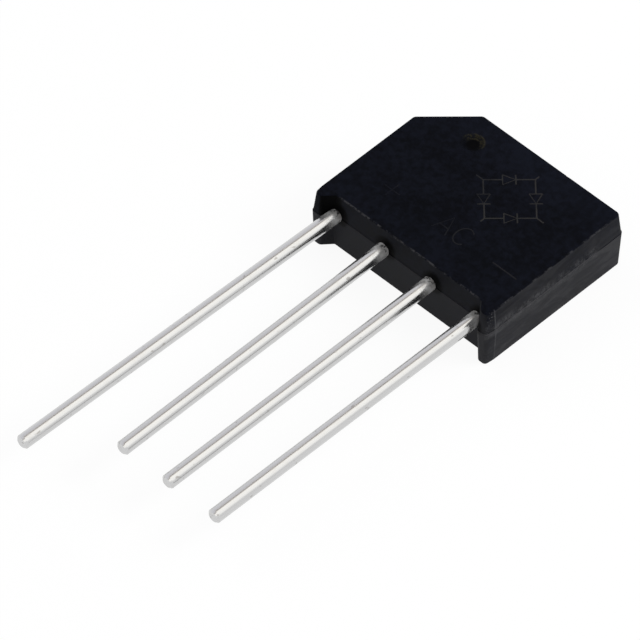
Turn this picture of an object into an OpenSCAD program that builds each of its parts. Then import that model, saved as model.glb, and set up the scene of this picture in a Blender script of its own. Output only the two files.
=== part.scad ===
// Single in-line bridge rectifier: a moulded epoxy body with four round leads, and inside it four diode dice
// soldered between the flattened lead ends and three copper jumpers.
// The part lies on its back face. The origin is the middle of that face, +Z points out of the marking face,
// +X runs from the plus lead to the minus lead, and the leads leave along -Y.

/* [Body] */
// Width across the body, at the parting line
body_w = 19.15; // [18.6:0.05:21]
// Height from the feet to the top edge, at the parting line
body_h = 15.6; // [15.2:0.05:18]
// Thickness from the back face to the marking face
body_t = 5.7; // [5.3:0.05:7]
// Height of the parting line and of the lead axes above the back face
parting_z = 3.6; // [3.2:0.05:4]
// Legs of the slanted corner beside the plus lead
chamfer = 4; // [2:0.1:4.4]
// Rounding of the upright corners
corner_r = 0.4; // [0.2:0.05:1]
// Rounding of the edges round the two faces
edge_r = 0.12; // [0.05:0.01:0.15]
// Draft of the front half, in degrees
front_draft = 5; // [2:0.5:7]
// Draft of the back half, in degrees
back_draft = 2; // [1:0.5:4]
// Ledge at the parting line, where the front half is the smaller
parting_step = 0.04; // [0.01:0.01:0.1]

/* [Feet] */
// Height of the feet below the floor that the leads leave from
foot_h = 0.9; // [0.6:0.05:1.6]
// Width of each foot at that floor
foot_root_w = 1.82; // [1.6:0.02:2]
// Width of each foot at its tip
foot_tip_w = 0.9; // [0.8:0.02:1.1]
// Lean of each foot's outer side
foot_lean = 0.12; // [0.05:0.01:0.3]
// Height of the crease where that lean starts, above the floor
crease_h = 0.15; // [0.05:0.05:1]
// Rounding of the tip towards the leads
tip_in_r = 0.25; // [0.1:0.01:0.3]
// Rounding of the tip's outer corner
tip_out_r = 0.15; // [0.1:0.01:0.2]
// Rounding where the foot meets the floor
foot_root_r = 0.2; // [0.1:0.05:0.4]

/* [Mould marks] */
// Diameter of the pin mark in the marking face
pin_mark_d = 1.8; // [1:0.1:3]
// Depth of that pin mark
pin_mark_h = 0.22; // [0.1:0.01:0.4]
// Pin mark's place left of the middle
pin_mark_x = 4.1; // [3.5:0.1:5]
// Pin mark's distance below the top edge
pin_mark_drop = 2.9; // [2.5:0.1:5]
// Diameter of the two ejector marks in the back face
ejector_d = 2; // [1:0.1:3]
// Depth of the ejector marks
ejector_h = 0.06; // [0.02:0.01:0.2]
// Distance between the ejector marks
ejector_gap = 11; // [8:0.5:13]
// Width of the scar where the gate was broken off, on the top edge
gate_w = 2.4; // [1:0.1:4]
// Depth of that scar
gate_cut = 0.06; // [0.02:0.01:0.15]
// Height of that scar, above the parting line
gate_h = 0.5; // [0.2:0.05:1]
// Place of the small chip in the top edge, right of the middle
chip_x = 3.65; // [2:0.05:7]
// Size of that chip
chip_w = 0.24; // [0.1:0.02:0.6]

/* [Leads] */
// Pitch of the four leads
pitch = 5.08; // [5:0.02:5.2]
// Diameter of the leads
lead_d = 1.25; // [1:0.05:1.4]
// Length of a lead, from the floor to its tip
lead_l = 29.1; // [19:0.1:30]
// How much longer the plus lead is
plus_extra = 5; // [0:0.1:6]
// Chamfer round a lead's tip
tip_cut = 0.16; // [0.05:0.01:0.3]
// Splay of the plus lead in degrees, away from the middle
plus_splay = 1.15; // [0:0.05:1.5]
// Splay of the first AC lead in degrees, towards the minus lead
ac_1_splay = 0.2; // [0:0.05:1]
// Splay of the second AC lead in degrees, towards the plus lead
ac_2_splay = 0.15; // [0:0.05:1]
// Splay of the minus lead in degrees, towards the plus lead
minus_splay = 0.35; // [0:0.05:1]

/* [Lead frame] */
// Thickness of the flattened lead ends
pad_t = 0.6; // [0.55:0.05:0.8]
// Depth of the flattened ends behind the floor
pad_in = 2.2; // [2:0.1:2.6]
// Length of the fan in which a lead widens to its pad
fan_l = 1.1; // [0.8:0.1:1.5]
// Diameter of the wire where its taper ends, inside the pad
root_d = 0.5; // [0.3:0.01:0.54]
// Width of the AC pads
ac_pad_w = 3.6; // [3.4:0.05:4]
// Width of the arms of the plus and minus leads
arm_w = 1.7; // [1.4:0.05:2]
// Distance from the top edge to the plus lead's crossbar
bar_drop = 3; // [2.8:0.1:3.4]
// Slanted corner of the crossbar
bar_cut = 1.5; // [1:0.1:2.4]
// Gap between the crossbar and the AC pads
bar_gap = 0.8; // [0.7:0.05:1]
// Shift of the crossbar's dice from the AC leads, towards the plus lead
dice_shift = 0.75; // [0:0.05:0.9]

/* [Dice and jumpers] */
// Side of a diode die
die_w = 2.4; // [2:0.05:2.5]
// Thickness of a diode die
die_t = 0.25; // [0.2:0.01:0.35]
// Height of the mesa on a die's anode side
mesa_h = 0.1; // [0.05:0.01:0.15]
// Width of the ledge round the mesa
mesa_step = 0.2; // [0.1:0.05:0.3]
// Margin of pad round a die
land = 0.4; // [0.3:0.05:0.5]
// Thickness of a solder joint
solder_t = 0.05; // [0.03:0.01:0.1]
// Thickness of the jumpers
jumper_t = 0.3; // [0.2:0.05:0.4]
// Width of the jumpers
jumper_w = 1.5; // [1.2:0.05:1.8]
// Diameter of the button that a jumper rests on a die with
button_d = 1.4; // [1:0.05:1.6]
// Height of that button
button_h = 0.1; // [0.06:0.01:0.2]
// Length of a jumper's foot
jumper_foot_l = 1; // [0.8:0.05:1.2]
// Length of the step between a jumper and its foot
joggle_l = 0.4; // [0.3:0.05:0.5]
// Clearance from a jumper's step to the metal beside it
joggle_gap = 0.15; // [0.1:0.05:0.2]

/* [Hidden] */
$fn = 64;

epoxy = "#26272b";
tinned = "#c9cbcd";
copper = "#c07a4a";
silicon = "#4a4f5a";
solder = "#a4a7aa";

// Steps of a rounded corner and of a rounded edge, and the overshoot of a cut
corner_steps = 6;
edge_steps = 3;
past = 1;
// Width of a fan's root as a share of the wire's
fan_root = 0.8;

half_w = body_w / 2;
top_y = body_h / 2;
seat_y = -body_h / 2;
floor_y = seat_y + foot_h;
lead_r = lead_d / 2;
plus_x = -1.5 * pitch;
ac_1_x = -0.5 * pitch;
ac_2_x = 0.5 * pitch;
minus_x = 1.5 * pitch;

// Plan of the lead frame
pad_y = floor_y + pad_in;
bar_top_y = top_y - bar_drop;
bar_y = bar_top_y - die_w - 2 * land;
ac_pad_top_y = bar_y - bar_gap;
upper_dice_y = bar_y + land + die_w / 2;
lower_dice_y = pad_y + land + die_w / 2;
plus_1_x = ac_1_x - dice_shift;
plus_2_x = ac_2_x - dice_shift;
ac_foot_y = ac_pad_top_y - jumper_foot_l;
minus_pad_top_y = lower_dice_y + jumper_w / 2 + land;

// Levels of the stack, from the pads towards the back face
pad_z = parting_z - pad_t / 2;
die_top_z = pad_z - solder_t;
die_z = die_top_z - die_t;
button_top_z = die_z - solder_t;
jumper_top_z = button_top_z - button_h;

// ---- Outline of the body ----

function unit(v) = v / norm(v);

// Left-hand normal of the edge from p to q
function inward(p, q) = let (u = unit(q - p)) [-u.y, u.x];

// Corner q of an outline whose edges have all moved inwards by d
function mitre(p, q, r, d) =
    let (m = inward(p, q), n = inward(q, r))
    q + d * (m + n) / (1 + m * n);

// Points of a corner q rounded to a radius, or q itself
function rounded(p, q, r, radius) =
    radius == 0 ? [q] :
    let (
        u = unit(p - q),
        v = unit(r - q),
        half = acos(u * v) / 2,
        centre = q + unit(u + v) * radius / sin(half),
        from = q + u * radius / tan(half) - centre,
        to = q + v * radius / tan(half) - centre,
        start = atan2(from.y, from.x),
        turn = (atan2(to.y, to.x) - start + 540) % 360 - 180
    )
    [for (i = [0:corner_steps])
        centre + radius * [cos(start + turn * i / corner_steps), sin(start + turn * i / corner_steps)]];

// Corners at the parting line, anticlockwise from the left foot: x, y and rounding
foot_tip_x = half_w - foot_lean;
foot_side = [
    [foot_tip_x - foot_tip_w, seat_y, tip_in_r],
    [foot_tip_x, seat_y, tip_out_r],
    [half_w, floor_y + crease_h, 0]
];
corners = concat(
    [[-foot_tip_x, seat_y, tip_out_r]],
    [[foot_tip_w - foot_tip_x, seat_y, tip_in_r]],
    [[foot_root_w - half_w, floor_y, foot_root_r]],
    [[half_w - foot_root_w, floor_y, foot_root_r]],
    foot_side,
    [[half_w, top_y, corner_r]],
    [[chamfer - half_w, top_y, corner_r]],
    [[-half_w, top_y - chamfer, corner_r]],
    [[-half_w, floor_y + crease_h, 0]]
);

// The outline with all its edges moved inwards by d
function outline(d) =
    let (
        n = len(corners),
        plan = [for (c = corners) [c.x, c.y]],
        moved = [for (i = [0:n - 1]) mitre(plan[(i + n - 1) % n], plan[i], plan[(i + 1) % n], d)]
    )
    [for (i = [0:n - 1])
        each rounded(moved[(i + n - 1) % n], moved[i], moved[(i + 1) % n], corners[i].z)];

// Sections of the moulding: height and inset
function back_inset(z) = (parting_z - z) * tan(back_draft);
function front_inset(z) = parting_step + (z - parting_z) * tan(front_draft);
sections = concat(
    [for (i = [edge_steps:-1:0])
        let (a = 90 * i / edge_steps)
        [edge_r * (1 - sin(a)), back_inset(edge_r) + edge_r * (1 - cos(a))]],
    [[parting_z, 0], [parting_z, parting_step]],
    [for (i = [0:edge_steps])
        let (a = 90 * i / edge_steps)
        [body_t - edge_r * (1 - sin(a)), front_inset(body_t - edge_r) + edge_r * (1 - cos(a))]]
);

// Place of a corner's first point in the outline
function first_point(i) = i == 0 ? 0 : first_point(i - 1) + (corners[i - 1].z == 0 ? 1 : corner_steps + 1);

// The outline's points as flat faces: the left foot, the right foot and the block above them
left_foot_corners = 3;
right_foot_corners = 3;
right_root = first_point(left_foot_corners);
right_crease = first_point(left_foot_corners + right_foot_corners);
left_crease = first_point(len(corners) - 1);
cap_faces = [
    concat([left_crease], [for (j = [0:right_root - 1]) j]),
    [for (j = [right_root:right_crease]) j],
    concat([right_root - 1, right_root], [for (j = [right_crease:left_crease]) j])
];

// A closed solid through the outline at each section
module moulding() {
    rings = [for (s = sections) outline(s[1])];
    n = len(rings[0]);
    last = (len(rings) - 1) * n;
    points = [for (i = [0:len(rings) - 1], p = rings[i]) [p.x, p.y, sections[i][0]]];
    walls = [for (i = [0:len(rings) - 2], j = [0:n - 1])
        let (k = (j + 1) % n)
        [i * n + j, (i + 1) * n + j, (i + 1) * n + k, i * n + k]];
    front = [for (face = cap_faces) [for (j = [len(face) - 1:-1:0]) last + face[j]]];
    polyhedron(points, concat(cap_faces, front, walls), convexity = 4);
}

module pin_mark() {
    translate([-pin_mark_x, top_y - pin_mark_drop, body_t - pin_mark_h])
        cylinder(d1 = pin_mark_d - 2 * pin_mark_h, d2 = pin_mark_d + 2 * past, h = pin_mark_h + past);
}

module ejector_marks() {
    for (side = [-1, 1])
        translate([side * ejector_gap / 2, 0, -past])
            cylinder(d = ejector_d, h = ejector_h + past);
}

module gate_scar() {
    translate([-gate_w / 2, top_y - gate_cut - gate_h * tan(front_draft), parting_z])
        cube([gate_w, past, gate_h]);
}

module edge_chip() {
    translate([chip_x, top_y - front_inset(body_t), body_t])
        rotate([0, 0, 45])
            cube([chip_w, chip_w, chip_w], center = true);
}

module moulded_body() {
    color(epoxy) difference() {
        moulding();
        pin_mark();
        ejector_marks();
        gate_scar();
        edge_chip();
        inner_parts();
    }
}

// ---- Leads ----

// Round wire from a pad's root to its tip, tapered from the pad to the feet's tips
module wire(x, length, splay) {
    whole = pad_in + length;
    translate([x, pad_y, parting_z]) rotate([90, 0, splay]) rotate_extrude()
        polygon([
            [0, 0], [root_d / 2, 0], [lead_r, pad_in + foot_h],
            [lead_r, whole - tip_cut], [lead_r - tip_cut, whole], [0, whole]
        ]);
}

// Flat pad with the given outline, from the point where its root leaves the wire
module pad(points) {
    translate([0, 0, pad_z]) linear_extrude(pad_t) polygon(points);
}

// Corners of the fan that widens from a wire to the width of its pad
function fan(x, width) = [
    [x - width / 2, pad_y], [x - lead_r * fan_root, pad_y - fan_l],
    [x + lead_r * fan_root, pad_y - fan_l], [x + width / 2, pad_y]
];

module ac_lead(x, splay) {
    side = ac_pad_w / 2;
    wire(x, lead_l, splay);
    pad(concat(fan(x, ac_pad_w), [[x + side, ac_pad_top_y], [x - side, ac_pad_top_y]]));
}

module lead_plus() {
    left = plus_x - arm_w / 2;
    right = plus_2_x + die_w / 2 + land;
    color(tinned) {
        wire(plus_x, lead_l + plus_extra, -plus_splay);
        pad(concat(fan(plus_x, arm_w), [
            [left + arm_w, bar_y], [right, bar_y],
            [right, bar_top_y], [left + bar_cut, bar_top_y], [left, bar_top_y - bar_cut]
        ]));
    }
}

module lead_ac_1() { color(tinned) ac_lead(ac_1_x, ac_1_splay); }

module lead_ac_2() { color(tinned) ac_lead(ac_2_x, -ac_2_splay); }

module lead_minus() {
    left = minus_x - arm_w / 2;
    color(tinned) {
        wire(minus_x, lead_l, -minus_splay);
        pad(concat(fan(minus_x, arm_w),
            [[left + arm_w, minus_pad_top_y], [left, minus_pad_top_y]]));
    }
}

// ---- Dice ----

// Die with its cathode on the pad and its anode mesa towards the back face
module die(x, y) {
    mesa_w = die_w - 2 * mesa_step;
    color(silicon) {
        translate([x - die_w / 2, y - die_w / 2, die_z + mesa_h])
            cube([die_w, die_w, die_t - mesa_h]);
        translate([x - mesa_w / 2, y - mesa_w / 2, die_z])
            cube([mesa_w, mesa_w, mesa_h]);
    }
}

module die_plus_1() { die(plus_1_x, upper_dice_y); }

module die_plus_2() { die(plus_2_x, upper_dice_y); }

module die_minus_1() { die(ac_1_x, lower_dice_y); }

module die_minus_2() { die(ac_2_x, lower_dice_y); }

// ---- Jumpers ----

// Strip along +Y from zero, its foot raised to the pads from foot_y on
module strip(foot_y, length) {
    rise = die_top_z - jumper_top_z;
    low = jumper_top_z - jumper_t;
    translate([-jumper_w / 2, 0, 0]) rotate([90, 0, 90]) linear_extrude(jumper_w)
        polygon([
            [0, low], [foot_y - joggle_l, low], [foot_y, low + rise], [length, low + rise],
            [length, die_top_z], [foot_y, die_top_z], [foot_y - joggle_l, jumper_top_z], [0, jumper_top_z]
        ]);
}

module button() {
    translate([0, 0, jumper_top_z]) cylinder(d = button_d, h = button_h);
}

// Strip from the middle of a crossbar die down to an AC pad, with the button near its end
module ac_jumper(x) {
    length = upper_dice_y + jumper_w / 2 - ac_foot_y;
    foot_y = upper_dice_y + jumper_w / 2 - (bar_y - joggle_gap - joggle_l);
    color(copper) {
        translate([x, upper_dice_y + jumper_w / 2, 0]) rotate([0, 0, 180]) strip(foot_y, length);
        translate([x, upper_dice_y, 0]) button();
    }
}

module jumper_ac_1() { ac_jumper(plus_1_x); }

module jumper_ac_2() { ac_jumper(plus_2_x); }

// Strip across both lower dice to the minus lead's arm
module jumper_minus() {
    start_x = ac_1_x - jumper_w / 2;
    foot_x = minus_x - jumper_foot_l / 2 - joggle_gap;
    color(copper) {
        translate([start_x, lower_dice_y, 0]) rotate([0, 0, -90])
            strip(foot_x - start_x, minus_x + jumper_foot_l / 2 - start_x);
        for (x = [ac_1_x, ac_2_x]) translate([x, lower_dice_y, 0]) button();
    }
}

// ---- Solder joints ----

module die_solder(x, y) {
    color(solder) translate([x - die_w / 2, y - die_w / 2, die_top_z]) cube([die_w, die_w, solder_t]);
}

module button_solder(x, y) {
    color(solder) translate([x, y, button_top_z]) cylinder(d = button_d, h = solder_t);
}

module foot_solder(x, y, along_x, along_y) {
    color(solder) translate([x, y, die_top_z]) cube([along_x, along_y, solder_t]);
}

module die_solder_plus_1() { die_solder(plus_1_x, upper_dice_y); }

module die_solder_plus_2() { die_solder(plus_2_x, upper_dice_y); }

module die_solder_minus_1() { die_solder(ac_1_x, lower_dice_y); }

module die_solder_minus_2() { die_solder(ac_2_x, lower_dice_y); }

module button_solder_plus_1() { button_solder(plus_1_x, upper_dice_y); }

module button_solder_plus_2() { button_solder(plus_2_x, upper_dice_y); }

module button_solder_minus_1() { button_solder(ac_1_x, lower_dice_y); }

module button_solder_minus_2() { button_solder(ac_2_x, lower_dice_y); }

module foot_solder_ac_1() { foot_solder(plus_1_x - jumper_w / 2, ac_foot_y, jumper_w, jumper_foot_l); }

module foot_solder_ac_2() { foot_solder(plus_2_x - jumper_w / 2, ac_foot_y, jumper_w, jumper_foot_l); }

module foot_solder_minus() {
    foot_solder(minus_x - jumper_foot_l / 2, lower_dice_y - jumper_w / 2, jumper_foot_l, jumper_w);
}

// Everything that the epoxy is moulded round
module inner_parts() {
    lead_plus();
    lead_ac_1();
    lead_ac_2();
    lead_minus();
    jumper_ac_1();
    jumper_ac_2();
    jumper_minus();
    for (x = [plus_1_x, plus_2_x]) {
        die(x, upper_dice_y);
        die_solder(x, upper_dice_y);
        button_solder(x, upper_dice_y);
    }
    for (x = [ac_1_x, ac_2_x]) {
        die(x, lower_dice_y);
        die_solder(x, lower_dice_y);
        button_solder(x, lower_dice_y);
    }
    foot_solder_ac_1();
    foot_solder_ac_2();
    foot_solder_minus();
}

moulded_body();
lead_plus();
lead_ac_1();
lead_ac_2();
lead_minus();
die_plus_1();
die_plus_2();
die_minus_1();
die_minus_2();
jumper_ac_1();
jumper_ac_2();
jumper_minus();
die_solder_plus_1();
die_solder_plus_2();
die_solder_minus_1();
die_solder_minus_2();
button_solder_plus_1();
button_solder_plus_2();
button_solder_minus_1();
button_solder_minus_2();
foot_solder_ac_1();
foot_solder_ac_2();
foot_solder_minus();
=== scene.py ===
"""Single in-line bridge rectifier: its visible pieces and finishes, as a Blender add-on."""

import math

import bmesh
import bpy
from mathutils import Matrix, Vector


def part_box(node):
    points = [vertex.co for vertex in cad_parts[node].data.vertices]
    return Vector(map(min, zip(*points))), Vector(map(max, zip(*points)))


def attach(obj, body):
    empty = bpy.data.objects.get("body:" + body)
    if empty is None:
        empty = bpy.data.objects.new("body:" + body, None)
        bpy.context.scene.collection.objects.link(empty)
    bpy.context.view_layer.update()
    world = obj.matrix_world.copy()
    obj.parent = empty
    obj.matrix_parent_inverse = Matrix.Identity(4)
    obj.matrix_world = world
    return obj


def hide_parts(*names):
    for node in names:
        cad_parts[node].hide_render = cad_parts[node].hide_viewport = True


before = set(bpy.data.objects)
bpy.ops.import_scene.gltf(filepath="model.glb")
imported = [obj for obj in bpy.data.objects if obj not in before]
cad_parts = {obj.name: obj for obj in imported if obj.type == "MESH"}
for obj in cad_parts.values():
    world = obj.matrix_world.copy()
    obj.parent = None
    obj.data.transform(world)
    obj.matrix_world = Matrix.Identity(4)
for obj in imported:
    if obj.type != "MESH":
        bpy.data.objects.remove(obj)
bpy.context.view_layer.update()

bl_info = {
    "name": "Bridge rectifier",
    "version": (1, 0, 0),
    "blender": (4, 5, 0),
    "location": "3D View > Sidebar > Rectifier",
    "description": "Builds the visible pieces and finishes of a single in-line bridge rectifier",
    "category": "Object",
}

MM = 0.001
PITCH = 5.08 * MM
BODY_LOW, BODY_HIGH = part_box("moulded_body")
# Each lead's splay from straight down, in degrees
LEADS = {"lead_plus": -1.15, "lead_ac_1": 0.2, "lead_ac_2": -0.15, "lead_minus": -0.35}
DICE = ("die_plus_1", "die_plus_2", "die_minus_1", "die_minus_2")
JUMPERS = ("jumper_ac_1", "jumper_ac_2", "jumper_minus")
# Each lead's place across the body
LEAD_ACROSS = {name: (number - 1.5) * PITCH for number, name in enumerate(LEADS)}

# Steps of rounded forms
CORNER_STEPS = 6
EDGE_STEPS = 4
MARK_STEPS = 48
LEAD_STEPS = 64
# Edges that turn by more than this are shaded sharp
SHARP_ANGLE = math.radians(40)

# Tones of the moulding compound where it isn't its own colour: painted reflection of the floor on the
# walls, which also carries their scuffs, and on the ledge
WALL_SHEEN_AND_SCUFF_TONE = (0.036, 0.036, 0.039)
LEDGE_SHEEN_TONE = (0.03, 0.03, 0.033)
SIDE_LEDGE_SHEEN_TONE = (0.08, 0.08, 0.085)
# Painted shade round the leads, inside the plus foot and in the pin mark
SHADE_TONE = (0.0002, 0.0002, 0.0003)
# Brownish painted highlight on the pin mark's rim
PIN_RIM_HIGHLIGHT_TONE = (0.034, 0.030, 0.017)
# Shine of the compound and its marks
EPOXY_SPECULAR = 0.03

# What reflections see round the leads' axis: share of a turn and colour
REFLECTED_PANELS = [
    (0.0, (0.92, 0.92, 0.93, 1.0)),
    (0.12, (1.0, 1.0, 0.99, 1.0)),
    (0.2, (1.4, 1.39, 1.36, 1.0)),
    (0.48, (1.55, 1.52, 1.45, 1.0)),
    (0.53, (0.95, 0.88, 0.8, 1.0)),
    (0.553, (0.18, 0.14, 0.11, 1.0)),
    (0.568, (0.18, 0.15, 0.12, 1.0)),
    (0.595, (0.8, 0.78, 0.79, 1.0)),
    (0.8, (0.9, 0.9, 0.94, 1.0)),
    (1.0, (1.0, 1.0, 1.02, 1.0)),
]
# Share of plain white in what the camera and reflections see of the floor
FLOOR_WHITE = 0.92


def length_property(name, description, millimetres):
    return bpy.props.FloatProperty(
        name=name,
        description=description,
        default=millimetres * MM,
        min=0.0,
        unit="LENGTH",
        subtype="DISTANCE",
    )


def colour_property(name, description, colour):
    return bpy.props.FloatVectorProperty(
        name=name,
        description=description,
        default=colour,
        min=0.0,
        max=1.0,
        size=3,
        subtype="COLOR",
    )


def angle_property(name, description, degrees):
    return bpy.props.FloatProperty(
        name=name,
        description=description,
        default=math.radians(degrees),
        unit="ROTATION",
        subtype="ANGLE",
    )


# ---- Sizes and colours ----


class RectifierBodySizes(bpy.types.PropertyGroup):
    parting_height: length_property("Parting height", "Parting line above the back face", 3.6)
    parting_step: length_property("Parting step", "Ledge where the front half is the smaller", 0.04)
    front_draft: angle_property("Front draft", "Draft of the front half's walls", 5)
    back_draft: angle_property("Back draft", "Draft of the back half's walls", 2)
    slant: length_property("Slanted corner", "Legs of the slanted corner beside the plus lead", 4)
    corner_radius: length_property("Corner radius", "Rounding of the upright corners", 0.4)
    edge_radius: length_property("Edge radius", "Rounding round the two faces", 0.12)
    foot_height: length_property("Foot height", "Feet below the floor between them", 0.9)
    foot_root: length_property("Foot root", "Width of a foot at the floor", 1.82)
    foot_tip: length_property("Foot tip", "Width of a foot at its tip", 0.9)
    foot_lean: length_property("Foot lean", "Lean of a foot's outer side", 0.12)
    foot_crease: length_property("Foot crease", "Height of the crease where that lean starts", 0.15)
    tip_inner_radius: length_property("Inner tip radius", "Rounding of a foot's tip by the leads", 0.35)
    tip_outer_radius: length_property("Outer tip radius", "Rounding of a foot's outer tip", 0.3)
    root_radius: length_property("Root radius", "Rounding where a foot meets the floor", 0.2)
    face_drop: length_property("Face drop", "How far the marking face lies below the marks", 0.012)
    pin_mark: length_property("Pin mark", "Diameter of the pin mark in the marking face", 1.8)
    pin_mark_depth: length_property("Pin mark depth", "Depth of the pin mark", 0.22)
    pin_mark_across: length_property("Pin mark across", "Pin mark left of the middle", 4.1)
    pin_mark_drop: length_property("Pin mark drop", "Pin mark below the top edge", 2.9)
    ejector_mark: length_property("Ejector mark", "Diameter of the marks in the back face", 2.0)
    ejector_depth: length_property("Ejector depth", "Depth of the ejector marks", 0.06)
    ejector_gap: length_property("Ejector gap", "Distance between the ejector marks", 11.0)
    gate_width: length_property("Gate width", "Width of the gate's scar in the top edge", 2.4)
    gate_height: length_property("Gate height", "Height of the scar above the parting line", 0.5)
    gate_cut: length_property("Gate cut", "Depth of the gate's scar", 0.06)
    nick_across: length_property("Nick across", "Nick in the top edge, right of the middle", 3.65)
    nick_size: length_property("Nick size", "Side of the nick", 0.24)
    lead_diameter: length_property("Lead diameter", "Diameter of a lead", 1.249)
    lead_bend: length_property("Lead bend", "Where the leads start to splay, below the middle", 4.7)
    root_depth: length_property("Root depth", "How far a lead's full round runs into the body", 0.3)


class RectifierMarkSizes(bpy.types.PropertyGroup):
    line_width: length_property("Line width", "Width of a marked line", 0.13)
    relief: length_property("Relief", "Height of a marked line", 0.008)
    row: length_property("Polarity row", "Distance of the polarity row below the middle", 3.2)
    letter_height: length_property("Letter height", "Height of the AC letters", 1.9)
    symbol_size: length_property("Symbol size", "Half diagonal of the bridge symbol", 2.9)
    symbol_across: length_property("Symbol across", "Place of the symbol right of the middle", 2.1)
    symbol_up: length_property("Symbol up", "Place of the symbol above the middle", 2.6)
    symbol_stub: length_property("Symbol stub", "Length of the symbol's ends", 0.75)
    diode_size: length_property("Diode size", "Half side of a diode in the symbol", 0.52)


class RectifierColours(bpy.types.PropertyGroup):
    epoxy: colour_property("Epoxy", "Moulding compound", (0.0014, 0.0017, 0.0031))
    # Scuffs and edge wear, and also the painted edge highlights
    epoxy_scuff_and_highlight: colour_property("Worn epoxy", "Scuffed moulding compound", (0.09, 0.09, 0.095))
    mark: colour_property("Mark", "Laser-marked lines", (0.026, 0.025, 0.025))
    tin: colour_property("Tin", "Tin plating", (0.62, 0.62, 0.62))
    copper: colour_property("Copper", "Stamped copper", (0.72, 0.38, 0.22))
    silicon: colour_property("Silicon", "Diode dice", (0.12, 0.13, 0.17))
    solder: colour_property("Solder", "Solder joints", (0.52, 0.53, 0.54))
    floor: colour_property("Floor", "Floor under the part", (0.96, 0.96, 0.96))


class RectifierStage(bpy.types.PropertyGroup):
    camera_place: bpy.props.FloatVectorProperty(
        name="Camera place",
        description="Where the camera stands",
        default=(0.4166, -0.4598, 0.6843),
        size=3,
        unit="LENGTH",
        subtype="TRANSLATION",
    )
    lens: bpy.props.FloatProperty(
        name="Lens",
        description="Focal length in millimetres",
        default=660.5,
        min=1.0,
        unit="CAMERA",
    )
    floor_side: bpy.props.FloatProperty(
        name="Floor side",
        description="Side of the floor",
        default=3.0,
        unit="LENGTH",
        subtype="DISTANCE",
    )
    ambient: bpy.props.FloatProperty(
        name="Ambient",
        description="Strength of the light from all round",
        default=0.55,
        min=0.0,
    )


# ---- Shader expressions ----


class Signal:
    """A shader socket that can be used in Python expressions."""

    def __init__(self, finish, socket):
        self.finish = finish
        self.socket = socket

    def __add__(self, other):
        return self.finish.maths("ADD", self, other)

    def __radd__(self, other):
        return self.finish.maths("ADD", other, self)

    def __sub__(self, other):
        return self.finish.maths("SUBTRACT", self, other)

    def __rsub__(self, other):
        return self.finish.maths("SUBTRACT", other, self)

    def __mul__(self, other):
        return self.finish.maths("MULTIPLY", self, other)

    def __rmul__(self, other):
        return self.finish.maths("MULTIPLY", other, self)

    def __truediv__(self, other):
        return self.finish.maths("DIVIDE", self, other)

    def __rtruediv__(self, other):
        return self.finish.maths("DIVIDE", other, self)

    def __pow__(self, other):
        return self.finish.maths("POWER", self, other)

    def __abs__(self):
        return self.finish.maths("ABSOLUTE", self)


class Finish:
    """The node tree of one material or world."""

    def __init__(self, holder):
        holder.use_nodes = True
        self.holder = holder
        self.tree = holder.node_tree
        self.tree.nodes.clear()

    def node(self, kind, settings=None, inputs=None, output=0):
        made = self.tree.nodes.new(kind)
        for name, value in (settings or {}).items():
            if name == "stops":
                ramp = made.color_ramp
                for stop, (place, colour) in zip(ramp.elements, value):
                    stop.position, stop.color = place, colour
                for place, colour in value[len(ramp.elements) :]:
                    ramp.elements.new(place).color = colour
            else:
                setattr(made, name, value)
        for name, value in (inputs or {}).items():
            if isinstance(value, Signal):
                self.tree.links.new(value.socket, made.inputs[name])
            else:
                made.inputs[name].default_value = value
        return Signal(self, made.outputs[output]) if made.outputs else None

    def maths(self, operation, first, second=None):
        inputs = {0: first}
        if second is not None:
            inputs[1] = second
        return self.node("ShaderNodeMath", {"operation": operation}, inputs)

    def strongest(self, first, *others):
        """The greatest of the values."""
        for other in others:
            first = self.maths("MAXIMUM", first, other)
        return first

    def place(self):
        return self.node("ShaderNodeTexCoord", output="Object")

    def split(self, vector):
        return [
            self.node("ShaderNodeSeparateXYZ", None, {0: vector}, axis)
            for axis in range(3)
        ]

    def stretched(self, vector, scale):
        return self.node(
            "ShaderNodeMapping", {"vector_type": "POINT"}, {"Vector": vector, "Scale": scale}
        )

    def noise(self, vector, size, detail=3.0, roughness=0.5, distortion=0.0):
        """Noise whose features are about that size, in metres."""
        return self.node(
            "ShaderNodeTexNoise",
            None,
            {
                "Vector": vector,
                "Scale": 1 / size,
                "Detail": detail,
                "Roughness": roughness,
                "Distortion": distortion,
            },
        )

    def cells(self, vector, size):
        return self.node("ShaderNodeTexVoronoi", None, {"Vector": vector, "Scale": 1 / size})

    def rays(self, *kinds):
        """For each kind of ray, one where the surface is seen by it."""
        return [self.node("ShaderNodeLightPath", output=f"Is {kind} Ray") for kind in kinds]

    def ease(self, value, low, high, start=0.0, end=1.0):
        """Runs smoothly from start to end as the value goes from low to high."""
        return self.node(
            "ShaderNodeMapRange",
            {"interpolation_type": "SMOOTHSTEP", "clamp": True},
            {"Value": value, "From Min": low, "From Max": high, "To Min": start, "To Max": end},
        )

    def band(self, value, centre, half_width, soft):
        """One near the centre and zero beyond the half width."""
        return self.ease(abs(value - centre), half_width, half_width + soft, 1.0, 0.0)

    def blend(self, share, first, second):
        """A colour between two colours."""
        made = self.tree.nodes.new("ShaderNodeMix")
        made.data_type = "RGBA"
        for index, value in ((0, share), (6, first), (7, second)):
            if isinstance(value, Signal):
                self.tree.links.new(value.socket, made.inputs[index])
            elif index:
                made.inputs[index].default_value = (*value, 1.0)
            else:
                made.inputs[index].default_value = value
        return Signal(self, made.outputs[2])

    def bump(self, height, distance, strength):
        return self.node(
            "ShaderNodeBump", None, {"Height": height, "Distance": distance, "Strength": strength}
        )

    def surface(self, **sockets):
        shader = self.node(
            "ShaderNodeBsdfPrincipled",
            None,
            {name.replace("_", " "): value for name, value in sockets.items()},
        )
        self.node("ShaderNodeOutputMaterial", None, {"Surface": shader})
        return self.holder


def new_finish(name):
    return Finish(bpy.data.materials.new(name))


def scaled(colour, factor):
    return tuple(factor * channel for channel in colour)


# ---- Finishes ----


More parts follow.
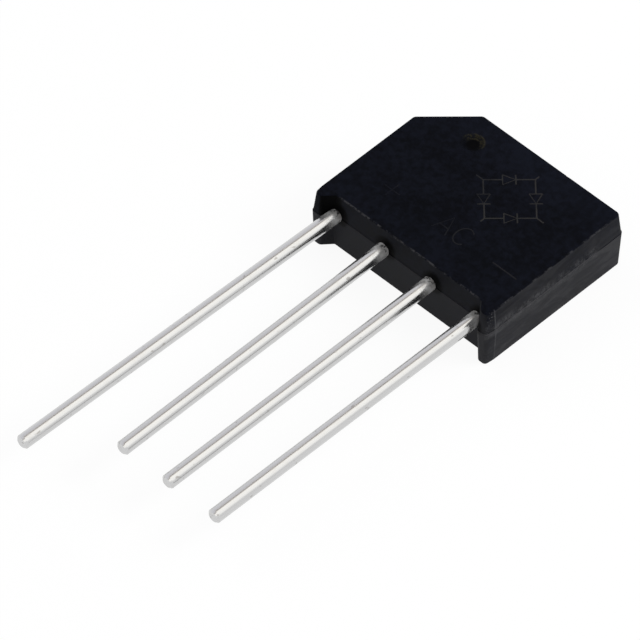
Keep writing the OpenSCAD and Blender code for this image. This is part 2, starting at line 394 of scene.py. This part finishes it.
class EpoxyFields:
    """Places, noises and regions of the body, which the epoxy's masks are made of."""

    def __init__(self, f, sizes):
        self.sizes = sizes
        self.place = f.place()
        self.x, self.y, self.z = f.split(self.place)
        normal = f.node("ShaderNodeNewGeometry", output="Normal")
        self.facing = abs(f.split(normal)[2])

        self.grain = f.noise(self.place, 0.07 * MM, 2.0, 0.6)
        self.speck = f.noise(self.place, 0.16 * MM, 2.0, 0.7)
        self.mottle = f.noise(self.place, 0.55 * MM, 4.0, 0.62, 0.4)
        self.patch = f.noise(self.place, 0.9 * MM, 3.0, 0.6)
        self.cloud = f.noise(self.place, 4.5 * MM, 2.0, 0.5, 0.6)

        self.left, self.right, self.top = -BODY_HIGH.x, BODY_HIGH.x, BODY_HIGH.y
        self.front = BODY_HIGH.z - sizes.face_drop
        self.parting = sizes.parting_height
        self.floor = BODY_LOW.y + sizes.foot_height
        self.crease = self.floor + sizes.foot_crease
        # The minus side, upright walls and the wall between the feet
        self.side = f.ease(self.x, self.right - 0.4 * MM, self.right - 0.25 * MM)
        self.upright = f.ease(self.facing, 0.6, 0.3)
        self.wall = f.ease(self.y, self.floor + 0.4 * MM, self.floor + 0.3 * MM)
        # The pin mark
        self.pin_line = self.top - sizes.pin_mark_drop
        self.to_pin = f.node(
            "ShaderNodeVectorMath",
            {"operation": "DISTANCE"},
            {0: self.place, 1: (-sizes.pin_mark_across, self.pin_line, self.front)},
            "Value",
        )
        self.by_face = f.ease(self.z, self.front - 1.2 * MM, self.front - 0.6 * MM)


def epoxy_wear_and_highlights(f, on):
    """Wear and painted highlight: front edges with wear and a patchy painted highlight, the rub along
    the parting line, specks and a crease.
    """
    edge = f.band(on.z, on.front, 0.07 * MM, 0.08 * MM) * f.ease(on.facing, 0.999, 0.97)
    # Front edge over the leads, away from both feet: wear and a patchy painted highlight
    lead_edge = edge * f.ease(on.y, on.floor + 0.55 * MM, on.floor + 0.35 * MM)
    lead_edge = lead_edge * f.ease(on.x, on.left + 1.9 * MM, on.left + 2.4 * MM)
    lead_edge = lead_edge * f.ease(on.x, on.right - 1.8 * MM, on.right - 2.4 * MM)
    lead_edge = lead_edge * f.ease(on.patch + on.speck * 0.6, 0.72, 0.94)
    # Front edge of the minus side: wear and a patchy painted highlight
    side_edge = edge * on.side * f.ease(on.patch + on.speck * 0.5, 0.72, 0.95)
    # Whitish rub along the parting line of the minus side
    rub = on.side * f.band(on.z, on.parting + 0.1 * MM, 0.2 * MM, 0.7 * MM)
    rub = rub * f.ease(on.y, on.top - 2.6 * MM, on.top - 3.4 * MM)
    rub = rub * f.ease(on.patch * 0.7 + on.speck * 0.5, 0.46, 0.8)
    # Pale specks at the minus foot's front tip
    tip = on.side * f.ease(on.y, on.floor + 0.3 * MM, on.floor - 0.1 * MM)
    tip = tip * f.ease(on.z, 3.9 * MM, 4.6 * MM)
    tip = tip * f.ease(on.speck + on.patch * 0.3, 0.76, 0.86)
    # Thin line where the foot's outer side starts to lean
    lean = on.side * f.band(on.y, on.crease, 0.02 * MM, 0.07 * MM)
    lean = lean * f.ease(on.patch, 0.25, 0.6)
    return f.strongest(lead_edge * 0.5, rub * 0.5, side_edge * 0.35, tip * 0.8, lean * 0.45)


def epoxy_skin(f, on, colours):
    """Mottled faces, lighter towards the top edge, and walls painted paler as a painted reflection of
    the floor, most of all below the parting line, with cloudy scuffs on the minus side.
    """
    upper = f.ease(on.y, 3.0 * MM, on.top) * 0.4
    mottled = f.ease(on.mottle * 0.7 + on.cloud * 0.3, 0.36, 0.66) * 0.8
    tone = f.blend(mottled + upper, colours.epoxy, scaled(colours.epoxy, 3.4))

    low = f.ease(on.z, on.parting + 0.1 * MM, on.parting - 0.1 * MM)
    foot_tip = f.ease(on.y, on.floor - 0.55 * MM, on.floor - 0.8 * MM)
    side_foot = on.side * f.ease(on.y, on.crease, on.crease - 0.1 * MM)
    drift = f.noise(f.stretched(on.place, (1.0, 0.55, 1.6)), 1.7 * MM, 3.0, 0.6, 0.5)
    # Painted reflection of the floor on the upright walls, stronger below the parting line and on the
    # minus side, with cloudy scuffs from the drift noise on that side
    pale = (0.16 + on.grain * 0.12) * (0.75 + low * 0.95)
    pale = pale + on.side * (f.ease(drift, 0.34, 0.68) * (0.3 + low * 0.2) + low * 0.06)
    # More painted reflection on the feet's tips, less below the minus foot's crease
    pale = on.upright * (pale + foot_tip * 0.3 - side_foot * 0.16)
    # The front half of the plus side gets no painted reflection and stays dark
    pale = pale * f.strongest(low, f.ease(on.x, on.left + 0.9 * MM, on.left + 1.9 * MM))
    tone = f.blend(pale, tone, WALL_SHEEN_AND_SCUFF_TONE)

    # The ledge gets painted reflection too, brighter on the minus side, but for its end by the top edge
    ledge = f.band(on.z, on.parting, 0.01 * MM, 0.004 * MM) * f.ease(on.facing, 0.9, 0.98)
    ledge = ledge * f.ease(on.y, on.top - 2.2 * MM, on.top - 3.6 * MM)
    return f.blend(ledge, tone, f.blend(on.side, LEDGE_SHEEN_TONE, SIDE_LEDGE_SHEEN_TONE))


def epoxy_shade(f, on, tone):
    """Painted shade round each lead's root, and deep painted shade inside the plus foot and in the pin
    mark.
    """
    # Painted shade on the wall round each lead where it leaves the body
    for lead in LEAD_ACROSS.values():
        across = on.x - lead - 0.25 * MM
        away = f.maths("SQRT", across * across + (on.z - on.parting - 0.3 * MM) ** 2.0)
        near = f.ease(away + (on.patch - 0.5) * 0.5 * MM, 1.25 * MM, 0.8 * MM)
        tone = f.blend(on.wall * near * 0.95, tone, SHADE_TONE)
    # Painted shade on the inner side of the plus foot
    inner = f.ease(on.x, on.left + 0.75 * MM, on.left + 0.95 * MM)
    inner = inner * f.ease(on.x, on.left + 2.6 * MM, on.left + 2.0 * MM)
    inner = inner * f.ease(on.z, on.parting - 0.1 * MM, on.parting + 0.1 * MM)
    tone = f.blend(on.wall * inner * on.upright * 0.95, tone, SHADE_TONE)
    # Painted shade in the pin mark
    ragged = on.to_pin + (on.patch - 0.5) * 0.5 * MM
    pin_shade = f.ease(ragged, 0.5 * on.sizes.pin_mark, 0.25 * on.sizes.pin_mark) * on.by_face
    return f.blend(pin_shade * 0.9, tone, SHADE_TONE)


def epoxy_finish(colours, sizes):
    """Satin black moulding compound: fine filler, faint mottling, scuffs and edge wear, with painted
    reflection on the walls and ledge, painted highlights on edges and the pin mark's rim, and painted
    shade round the leads, in the plus foot and in the pin mark.
    """
    f = new_finish("moulded_epoxy")
    on = EpoxyFields(f, sizes)
    wear_and_highlight = epoxy_wear_and_highlights(f, on)
    # Brownish painted highlight on the pin mark's rim, on its upper side
    rim = f.band(on.to_pin, sizes.pin_mark * 0.44, 0.12 * MM, 0.16 * MM) * on.by_face
    rim = rim * f.ease(on.patch * 0.5 + on.speck * 0.7, 0.52, 0.68)
    rim = rim * f.ease(on.y, on.pin_line - 0.3 * MM, on.pin_line + 0.4 * MM)

    tone = epoxy_shade(f, on, epoxy_skin(f, on, colours))
    tone = f.blend(rim * 0.6, tone, PIN_RIM_HIGHLIGHT_TONE)
    tone = f.blend(wear_and_highlight, tone, colours.epoxy_scuff_and_highlight)
    relief = on.grain * 0.5 + on.speck * 0.3 + on.mottle * 0.6
    return f.surface(
        Base_Color=tone,
        Roughness=0.5 + (on.mottle - 0.5) * 0.16 + wear_and_highlight * 0.2 + rim * 0.15,
        Specular_IOR_Level=EPOXY_SPECULAR,
        Normal=f.bump(relief, 0.012 * MM, 0.5),
    )


def mark_finish(colours):
    """Laser-marked line: paler than the compound, matt and uneven, fainter in the polarity row."""
    f = new_finish("laser_mark")
    place = f.place()
    x, y, _ = f.split(place)
    # The polarity row lies below the symbol
    row = f.ease(y, -2.0 * MM, -1.2 * MM, 0.45, 1.0)
    pulse = f.noise(place, 0.09 * MM, 2.0, 0.6)
    fade = f.noise(place, 2.2 * MM, 2.0, 0.5)
    # Stronger towards the minus side
    drift = x / (34 * MM)
    strength = f.ease(fade + drift + pulse * 0.25, 0.34, 0.86, 0.2, 1.0) * row
    return f.surface(
        Base_Color=f.blend(strength, scaled(colours.epoxy, 2.5), colours.mark),
        Roughness=0.62 + pulse * 0.2,
        Specular_IOR_Level=EPOXY_SPECULAR,
        Normal=f.bump(pulse, 0.006 * MM, 0.6),
    )


def tin_finish(colours):
    """Bright tin on copper wire: drawing streaks, nicks, dull patches and matt roots with patchy
    painted shade where the wire leaves the body.
    """
    f = new_finish("tinned_wire")
    place = f.place()
    _, y, _ = f.split(place)
    streaks = f.noise(f.stretched(place, (1.0, 0.03, 1.0)), 0.1 * MM, 3.0, 0.6)
    ripple = f.noise(f.stretched(place, (1.0, 0.25, 1.0)), 1.3 * MM, 2.0, 0.5)
    nick = f.noise(f.stretched(place, (1.0, 0.45, 1.0)), 0.35 * MM, 1.0, 0.4)
    nick = f.ease(nick, 0.7, 0.78)
    blotch = f.noise(place, 0.8 * MM, 3.0, 0.6)
    dull = f.ease(blotch, 0.52, 0.74)
    tone = f.blend(streaks * 0.35, colours.tin, scaled(colours.tin, 0.82))
    tone = f.blend(dull * 0.3, tone, (0.58, 0.57, 0.55))
    tone = f.blend(nick * 0.55, tone, (0.30, 0.28, 0.26))
    # Matt towards the body, with patchy painted shade where the wire leaves it
    tips = BODY_LOW.y
    root = f.ease(y, tips - 1.0 * MM, tips + 0.9 * MM)
    matt = f.blend(f.ease(blotch, 0.35, 0.65), (0.36, 0.35, 0.34), (0.8, 0.8, 0.8))
    tone = f.blend(root, tone, matt)
    # Patchy painted shade on the wire where it enters the body
    root_shade = f.ease(f.noise(place, 0.4 * MM, 2.0, 0.6), 0.5, 0.62)
    root_shade = root_shade * f.ease(y, tips + 0.3 * MM, tips + 0.8 * MM)
    tone = f.blend(root_shade * 0.9, tone, (0.012, 0.012, 0.012))
    relief = ripple * 0.7 + streaks * 0.03 - nick * 0.5
    return f.surface(
        Base_Color=tone,
        Metallic=1.0 - root * 0.7,
        Roughness=0.17 + streaks * 0.06 + dull * 0.08 + nick * 0.2,
        Normal=f.bump(relief, 0.01 * MM, 0.5),
    )


def copper_finish(colours):
    """Stamped copper strip with rolling lines and a little tarnish."""
    f = new_finish("stamped_copper")
    place = f.place()
    rolled = f.noise(f.stretched(place, (1.0, 0.06, 1.0)), 0.08 * MM, 3.0, 0.6)
    tarnish = f.ease(f.noise(place, 0.7 * MM, 3.0, 0.6), 0.45, 0.72)
    tone = f.blend(rolled * 0.4, colours.copper, scaled(colours.copper, 0.75))
    tone = f.blend(tarnish * 0.5, tone, (0.34, 0.15, 0.08))
    return f.surface(
        Base_Color=tone,
        Metallic=1.0,
        Roughness=0.3 + rolled * 0.15 + tarnish * 0.15,
        Normal=f.bump(rolled, 0.008 * MM, 0.5),
    )


def silicon_finish(colours):
    """Polished silicon with faint lapping marks and a bluish film in places."""
    f = new_finish("silicon_die")
    place = f.place()
    lapping = f.noise(f.stretched(place, (1.0, 0.2, 1.0)), 0.05 * MM, 2.0, 0.6)
    film = f.ease(f.noise(place, 0.9 * MM, 2.0, 0.5), 0.4, 0.65)
    tone = f.blend(film * 0.5, colours.silicon, (0.07, 0.10, 0.19))
    return f.surface(
        Base_Color=tone,
        Roughness=0.16 + lapping * 0.12,
        Coat_Weight=film * 0.4,
        Normal=f.bump(lapping, 0.003 * MM, 0.4),
    )


def solder_finish(colours):
    """Grainy, slightly clouded solder."""
    f = new_finish("solder_joint")
    place = f.place()
    crystals = f.cells(place, 0.14 * MM)
    cloud = f.noise(place, 0.5 * MM, 3.0, 0.6)
    tone = f.blend(cloud * 0.5, colours.solder, scaled(colours.solder, 0.7))
    return f.surface(
        Base_Color=tone,
        Metallic=1.0,
        Roughness=0.34 + crystals * 0.2,
        Normal=f.bump(crystals, 0.01 * MM, 0.5),
    )


def floor_finish(colours):
    """Pale floor, seen as white by the camera and in reflections, that keeps a faint shadow."""
    f = new_finish("pale_floor")
    seen = f.strongest(*f.rays("Camera", "Glossy", "Transmission"))
    matt = f.node("ShaderNodeBsdfDiffuse", None, {"Color": (*colours.floor, 1.0)})
    white = f.node("ShaderNodeEmission", None, {"Color": (1.0, 1.0, 1.0, 1.0), "Strength": 1.0})
    mixed = f.node("ShaderNodeMixShader", None, {0: seen * FLOOR_WHITE, 1: matt, 2: white})
    f.node("ShaderNodeOutputMaterial", None, {"Surface": mixed})
    return f.holder


# ---- Helpers for pieces ----


def paint(piece, material):
    piece.data.materials.clear()
    piece.data.materials.append(material)


def seat_piece(mesh, name, material, replaced=()):
    """Links a finished mesh as a piece of the part's one body."""
    piece = bpy.data.objects.new(name, mesh)
    bpy.context.scene.collection.objects.link(piece)
    paint(piece, material)
    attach(piece, "root")
    if replaced:
        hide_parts(*replaced)
    return piece


def mesh_from(bm, name):
    mesh = bpy.data.meshes.new(name)
    bm.to_mesh(mesh)
    bm.free()
    return mesh


def loose_object(mesh):
    """A mesh linked into the scene that isn't a piece."""
    made = bpy.data.objects.new(mesh.name, mesh)
    bpy.context.scene.collection.objects.link(made)
    return made


def settled_mesh(piece):
    """A new mesh of the piece with its modifiers applied."""
    graph = bpy.context.evaluated_depsgraph_get()
    return bpy.data.meshes.new_from_object(piece.evaluated_get(graph))


def round_mesh(name, low_radius, high_radius, depth, steps, matrix):
    """A closed cone or cylinder."""
    bm = bmesh.new()
    bmesh.ops.create_cone(
        bm,
        cap_ends=True,
        segments=steps,
        radius1=low_radius,
        radius2=high_radius,
        depth=depth,
        matrix=matrix,
    )
    return mesh_from(bm, name)


def scrap(*objects):
    for made in objects:
        mesh = made.data
        bpy.data.objects.remove(made)
        bpy.data.meshes.remove(mesh)


# ---- Moulded body ----


def body_corners(sizes):
    """Sharp corners of the outline at the parting line, anticlockwise: x, y and rounding."""
    half, top, seat = BODY_HIGH.x, BODY_HIGH.y, BODY_LOW.y
    floor = seat + sizes.foot_height
    tip = half - sizes.foot_lean
    crease = floor + sizes.foot_crease
    return [
        (-tip, seat, sizes.tip_outer_radius),
        (sizes.foot_tip - tip, seat, sizes.tip_inner_radius),
        (sizes.foot_root - half, floor, sizes.root_radius),
        (half - sizes.foot_root, floor, sizes.root_radius),
        (tip - sizes.foot_tip, seat, sizes.tip_inner_radius),
        (tip, seat, sizes.tip_outer_radius),
        (half, crease, 0.0),
        (half, top, sizes.corner_radius),
        (sizes.slant - half, top, sizes.corner_radius),
        (-half, top - sizes.slant, sizes.corner_radius),
        (-half, crease, 0.0),
    ]


def section(bm, corners, height, inset):
    """The outline at a height, moved inwards and with its corners rounded, as one face."""
    earlier = set(bm.faces)
    face = bm.faces.new([bm.verts.new((x, y, height)) for x, y, _ in corners])
    bm.normal_update()
    rim = bmesh.ops.inset_region(
        bm, faces=[face], thickness=inset, use_boundary=True, use_even_offset=True
    )["faces"]
    bmesh.ops.delete(bm, geom=rim, context="FACES")
    for index, (x, y, radius) in enumerate(corners):
        if not radius:
            continue
        here = Vector((x, y))
        before = Vector(corners[index - 1][:2]) - here
        after = Vector(corners[(index + 1) % len(corners)][:2]) - here
        loose = [vert for vert in bm.verts if not any(f in earlier for f in vert.link_faces)]
        corner = min(loose, key=lambda vert: (vert.co.xy - here).length)
        bmesh.ops.bevel(
            bm,
            geom=[corner],
            offset=radius / math.tan(before.angle(after) / 2),
            offset_type="OFFSET",
            affect="VERTICES",
            segments=CORNER_STEPS,
            profile=0.5,
            material=-1,
            clamp_overlap=False,
        )
    return next(made for made in bm.faces if made not in earlier)


def body_sections(sizes):
    """Height and inset of each section, from the back face to the marking face."""
    radius, parting = sizes.edge_radius, sizes.parting_height
    face = BODY_HIGH.z - sizes.face_drop
    back_inset = (parting - radius) * math.tan(sizes.back_draft)
    front_inset = sizes.parting_step + (face - radius - parting) * math.tan(sizes.front_draft)
    turns = [math.pi / 2 * step / EDGE_STEPS for step in range(EDGE_STEPS + 1)]
    rounding = [(radius * (1 - math.sin(turn)), radius * (1 - math.cos(turn))) for turn in turns]
    back = [(down, back_inset + across) for down, across in reversed(rounding)]
    front = [(face - down, front_inset + across) for down, across in rounding]
    return [*back, (parting, 0.0), (parting, sizes.parting_step), *front]


def body_shell(sizes):
    """The moulding without its marks: the sections bridged into one closed skin."""
    corners = body_corners(sizes)
    bm = bmesh.new()
    faces = [section(bm, corners, height, inset) for height, inset in body_sections(sizes)]
    rings = [list(face.edges) for face in faces]
    bmesh.ops.delete(bm, geom=faces, context="FACES_ONLY")
    for lower, upper in zip(rings, rings[1:]):
        bmesh.ops.bridge_loops(bm, edges=lower + upper)
    bmesh.ops.edgeloop_fill(bm, edges=rings[0] + rings[-1])
    bmesh.ops.recalc_face_normals(bm, faces=bm.faces)
    return mesh_from(bm, "body_shell")


def body_cutters(sizes):
    """Closed cutters for the pin mark, ejector marks, gate scar and nick."""
    front = BODY_HIGH.z - sizes.face_drop
    # How far a cutter reaches beyond the body
    past = 1.0 * MM

    depth = sizes.pin_mark_depth + past
    pin_line = BODY_HIGH.y - sizes.pin_mark_drop
    middle = front - sizes.pin_mark_depth + depth / 2
    cutters = [
        round_mesh(
            "pin_cutter",
            sizes.pin_mark / 2 - sizes.pin_mark_depth,
            sizes.pin_mark / 2 + past,
            depth,
            MARK_STEPS,
            Matrix.Translation((-sizes.pin_mark_across, pin_line, middle)),
        )
    ]

    depth = sizes.ejector_depth + past
    for side in (-1, 1):
        radius = sizes.ejector_mark / 2
        seat = Matrix.Translation((side * sizes.ejector_gap / 2, 0, sizes.ejector_depth - depth / 2))
        cutters.append(round_mesh("ejector_cutter", radius, radius, depth, MARK_STEPS, seat))

    bm = bmesh.new()
    bmesh.ops.create_cube(bm, size=1.0)
    bmesh.ops.scale(bm, vec=(sizes.gate_width, past, sizes.gate_height), verts=bm.verts)
    cut = BODY_HIGH.y - sizes.gate_cut - sizes.gate_height * math.tan(sizes.front_draft)
    bmesh.ops.translate(
        bm, vec=(0, cut + past / 2, sizes.parting_height + sizes.gate_height / 2), verts=bm.verts
    )
    cutters.append(mesh_from(bm, "gate_cutter"))

    bm = bmesh.new()
    bmesh.ops.create_cube(bm, size=sizes.nick_size)
    bmesh.ops.rotate(bm, matrix=Matrix.Rotation(math.pi / 4, 3, "Z"), verts=bm.verts)
    inset = sizes.parting_step + (front - sizes.parting_height) * math.tan(sizes.front_draft)
    bmesh.ops.translate(bm, vec=(sizes.nick_across, BODY_HIGH.y - inset, front), verts=bm.verts)
    cutters.append(mesh_from(bm, "nick_cutter"))
    return [loose_object(mesh) for mesh in cutters]


class RECTIFIER_OT_moulded_body(bpy.types.Operator):
    """Builds the drafted epoxy body with its feet, parting ledge and mould marks"""

    bl_idname = "rectifier.moulded_body"
    bl_label = "Moulded body"

    def execute(self, context):
        sizes = context.scene.rectifier_body
        shell = loose_object(body_shell(sizes))
        cutters = body_cutters(sizes)
        for cutter in cutters:
            cut = shell.modifiers.new("mark", "BOOLEAN")
            cut.operation = "DIFFERENCE"
            cut.solver = "EXACT"
            cut.object = cutter
        mesh = settled_mesh(shell)
        scrap(shell, *cutters)
        if not mesh.polygons:
            raise RuntimeError("nothing is left of the moulded body after its marks are cut")
        mesh.name = "epoxy_body"
        mesh.shade_smooth()
        mesh.set_sharp_from_angle(angle=SHARP_ANGLE)
        material = epoxy_finish(context.scene.rectifier_colours, sizes)
        piece = seat_piece(mesh, "epoxy_body", material, ["moulded_body"])
        weighted = piece.modifiers.new("even_shading", "WEIGHTED_NORMAL")
        weighted.keep_sharp = True
        return {"FINISHED"}


# ---- Marks ----


def arc(centre, radius, start, end, squash, steps=20):
    """Points of an arc that is narrowed sideways, its angles in degrees."""
    points = []
    for step in range(steps + 1):
        angle = math.radians(start + (end - start) * step / steps)
        across = centre[0] + radius * squash * math.cos(angle)
        points.append((across, centre[1] + radius * math.sin(angle)))
    return points


def line_mesh(name, strokes, sizes):
    """Closed rods along the strokes, flattened to the marks' relief."""
    curve = bpy.data.curves.new(name, "CURVE")
    curve.dimensions = "3D"
    curve.bevel_depth = sizes.line_width / 2
    curve.bevel_resolution = 2
    curve.use_fill_caps = True
    for points in strokes:
        spline = curve.splines.new("POLY")
        spline.points.add(len(points) - 1)
        for point, (x, y) in zip(spline.points, points):
            point.co = (x, y, 0.0, 1.0)
    drawn = bpy.data.objects.new(name, curve)
    bpy.context.scene.collection.objects.link(drawn)
    mesh = settled_mesh(drawn)
    bpy.data.objects.remove(drawn)
    bpy.data.curves.remove(curve)
    mesh.name = name
    mesh.transform(Matrix.Diagonal((1.0, 1.0, sizes.relief / (sizes.line_width / 2), 1.0)))
    return mesh


def polarity_strokes(sizes):
    """Plus, AC and minus, over their leads."""
    row = -sizes.row
    plus_middle, plus_reach = -5.12 * MM, 0.8 * MM
    top = row + 1.3 * MM
    foot = top - sizes.letter_height
    bar = foot + sizes.letter_height * 0.36
    c_centre = (2.25 * MM, (top + foot) / 2)
    return [
        [(-5.95 * MM, row), (-4.3 * MM, row)],
        [(plus_middle, row + plus_reach), (plus_middle, row - plus_reach)],
        [(5.75 * MM, row), (8.3 * MM, row)],
        [(-0.3 * MM, foot), (0.42 * MM, top), (1.14 * MM, foot)],
        [(-0.02 * MM, bar), (0.86 * MM, bar)],
        arc(c_centre, sizes.letter_height / 2, 45, 315, squash=0.74),
    ]


def symbol_strokes(sizes):
    """A bridge of four diodes in a diamond, with its four ends."""
    centre = Vector((sizes.symbol_across, sizes.symbol_up))
    across, up = Vector((sizes.symbol_size, 0)), Vector((0, sizes.symbol_size))
    left, right = centre - across, centre + across
    top, foot = centre + up, centre - up
    strokes = []
    for start, end in ((left, top), (foot, right), (left, foot), (top, right)):
        strokes += diode_strokes(start, end, sizes.diode_size)
    sideways, upright = Vector((sizes.symbol_stub, 0)), Vector((0, sizes.symbol_stub * 0.6))
    strokes += [
        [left, left - sideways],
        [right, right + sideways],
        [top, top + upright],
        [foot, foot - upright],
    ]
    return [[tuple(point) for point in stroke] for stroke in strokes]


def diode_strokes(start, end, size):
    """A line with a diode triangle and bar at its middle."""
    along = (end - start).normalized()
    across = Vector((-along.y, along.x))
    middle = (start + end) / 2
    back, tip = middle - along * size, middle + along * size
    return [
        [start, back],
        [tip, end],
        [back + across * size, tip, back - across * size, back + across * size],
        [tip + across * size, tip - across * size],
    ]


class RECTIFIER_OT_marks(bpy.types.Operator):
    """Builds the laser-marked polarity row and bridge symbol"""

    bl_idname = "rectifier.marks"
    bl_label = "Marks"

    def execute(self, context):
        sizes = context.scene.rectifier_marks
        material = mark_finish(context.scene.rectifier_colours)
        height = BODY_HIGH.z - context.scene.rectifier_body.face_drop
        for name, strokes in (
            ("polarity_marks", polarity_strokes(sizes)),
            ("bridge_symbol", symbol_strokes(sizes)),
        ):
            mesh = line_mesh(name, strokes, sizes)
            mesh.transform(Matrix.Translation((0, 0, height)))
            seat_piece(mesh, name, material)
        return {"FINISHED"}


# ---- Metal and dice ----


def lead_root(sizes, across, splay):
    """A lead's full round from the feet's tips to just inside the body."""
    length = sizes.foot_height + sizes.root_depth
    below_bend = BODY_LOW.y + sizes.lead_bend + length / 2
    matrix = (
        Matrix.Translation((across, -sizes.lead_bend, sizes.parting_height))
        @ Matrix.Rotation(splay, 4, "Z")
        @ Matrix.Translation((0, below_bend, 0))
        @ Matrix.Rotation(math.pi / 2, 4, "X")
    )
    radius = sizes.lead_diameter / 2
    mesh = round_mesh("lead_root", radius, radius, length, LEAD_STEPS, matrix)
    mesh.shade_smooth()
    mesh.set_sharp_from_angle(angle=SHARP_ANGLE)
    return mesh


class RECTIFIER_OT_leads(bpy.types.Operator):
    """Tins the four leads and rounds out their roots between the feet"""

    bl_idname = "rectifier.leads"
    bl_label = "Leads"

    def execute(self, context):
        material = tin_finish(context.scene.rectifier_colours)
        sizes = context.scene.rectifier_body
        for name, splay in LEADS.items():
            paint(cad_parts[name], material)
            root = lead_root(sizes, LEAD_ACROSS[name], math.radians(splay))
            seat_piece(root, f"{name}_root", material)
        return {"FINISHED"}


class RECTIFIER_OT_inner_parts(bpy.types.Operator):
    """Gives the dice, jumpers and solder joints inside the body their finishes"""

    bl_idname = "rectifier.inner_parts"
    bl_label = "Inner parts"

    def execute(self, context):
        colours = context.scene.rectifier_colours
        silicon = silicon_finish(colours)
        copper = copper_finish(colours)
        solder = solder_finish(colours)
        for name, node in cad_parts.items():
            if name in DICE:
                paint(node, silicon)
            elif name in JUMPERS:
                paint(node, copper)
            elif "solder" in name:
                paint(node, solder)
        return {"FINISHED"}


# ---- Stage ----


def area_lamp(name, place, size, power):
    """A soft lamp aimed at the origin and unseen in reflections."""
    lamp = bpy.data.lights.new(name, "AREA")
    lamp.shape = "RECTANGLE"
    lamp.size, lamp.size_y = size
    lamp.energy = power
    made = bpy.data.objects.new(name, lamp)
    made.location = place
    made.rotation_mode = "QUATERNION"
    made.rotation_quaternion = (-Vector(place)).to_track_quat("-Z", "Y")
    made.visible_glossy = False
    bpy.context.scene.collection.objects.link(made)


def light_tent(world, ambient):
    """Even light from all round, seen in reflections as white panels with a dark gap overhead."""
    f = Finish(world)
    direction = f.node("ShaderNodeTexCoord", output="Generated")
    x, _, z = f.split(direction)
    turn = f.maths("ARCTAN2", z, x) / math.pi
    panels = f.node("ShaderNodeValToRGB", {"stops": REFLECTED_PANELS}, {"Fac": turn})
    camera, glossy, through = f.rays("Camera", "Glossy", "Transmission")
    colour = f.blend(glossy, (1.0, 1.0, 1.0), panels)
    strength = ambient + f.strongest(camera, glossy, through) * (1.0 - ambient)
    shell = f.node("ShaderNodeBackground", None, {"Color": colour, "Strength": strength})
    f.node("ShaderNodeOutputWorld", None, {"Surface": shell})


class RECTIFIER_OT_stage(bpy.types.Operator):
    """Builds the camera, lamps, light tent and floor"""

    bl_idname = "rectifier.stage"
    bl_label = "Stage"

    def execute(self, context):
        stage = context.scene.rectifier_stage
        data = bpy.data.cameras.new("camera")
        data.lens = stage.lens
        data.sensor_width = 36.0
        data.clip_start, data.clip_end = 0.01, 20.0
        camera = bpy.data.objects.new("camera", data)
        right = Vector((0.71799, 0.69592, 0.01373))
        up = Vector((-0.52512, 0.52860, 0.66696))
        back = Vector((0.45689, -0.48608, 0.74497))
        turn = Matrix((right, up, back)).transposed().to_4x4()
        camera.matrix_world = Matrix.Translation(stage.camera_place) @ turn
        context.scene.collection.objects.link(camera)
        context.scene.camera = camera

        bm = bmesh.new()
        bmesh.ops.create_grid(bm, x_segments=1, y_segments=1, size=stage.floor_side / 2)
        # Just clear of the back face
        bmesh.ops.translate(bm, vec=(0, 0, -0.01 * MM), verts=bm.verts)
        floor = loose_object(mesh_from(bm, "floor"))
        paint(floor, floor_finish(context.scene.rectifier_colours))

        area_lamp("key_lamp", place=(0.36, 0.30, 0.42), size=(0.34, 0.3), power=2.4)
        area_lamp("fill_lamp", place=(-0.5, -0.1, 0.45), size=(0.5, 0.4), power=1.0)
        world = bpy.data.worlds.new("light_tent")
        context.scene.world = world
        light_tent(world, stage.ambient)
        context.scene.view_settings.view_transform = "Standard"
        return {"FINISHED"}


# ---- Add-on ----


class RECTIFIER_PT_panel(bpy.types.Panel):
    """Lists the rectifier's pieces and sizes"""

    bl_idname = "RECTIFIER_PT_panel"
    bl_label = "Bridge rectifier"
    bl_space_type = "VIEW_3D"
    bl_region_type = "UI"
    bl_category = "Rectifier"

    def draw(self, context):
        for operator in OPERATORS:
            self.layout.operator(operator.bl_idname)
        for group in ("body", "marks", "colours", "stage"):
            box = self.layout.box()
            box.label(text=group.capitalize())
            settings = getattr(context.scene, f"rectifier_{group}")
            for name in settings.bl_rna.properties.keys():
                if name not in ("rna_type", "name"):
                    box.prop(settings, name)


OPERATORS = (
    RECTIFIER_OT_stage,
    RECTIFIER_OT_moulded_body,
    RECTIFIER_OT_marks,
    RECTIFIER_OT_leads,
    RECTIFIER_OT_inner_parts,
)
GROUPS = {
    "rectifier_body": RectifierBodySizes,
    "rectifier_marks": RectifierMarkSizes,
    "rectifier_colours": RectifierColours,
    "rectifier_stage": RectifierStage,
}
CLASSES = (*GROUPS.values(), *OPERATORS, RECTIFIER_PT_panel)


def register():
    for cls in CLASSES:
        bpy.utils.register_class(cls)
    for name, group in GROUPS.items():
        setattr(bpy.types.Scene, name, bpy.props.PointerProperty(type=group))


def unregister():
    for name in GROUPS:
        delattr(bpy.types.Scene, name)
    for cls in reversed(CLASSES):
        bpy.utils.unregister_class(cls)


def main():
    register()
    bpy.ops.rectifier.stage()
    bpy.ops.rectifier.moulded_body()
    bpy.ops.rectifier.marks()
    bpy.ops.rectifier.leads()
    bpy.ops.rectifier.inner_parts()
    bpy.context.view_layer.update()


if __name__ == "__main__":
    main()
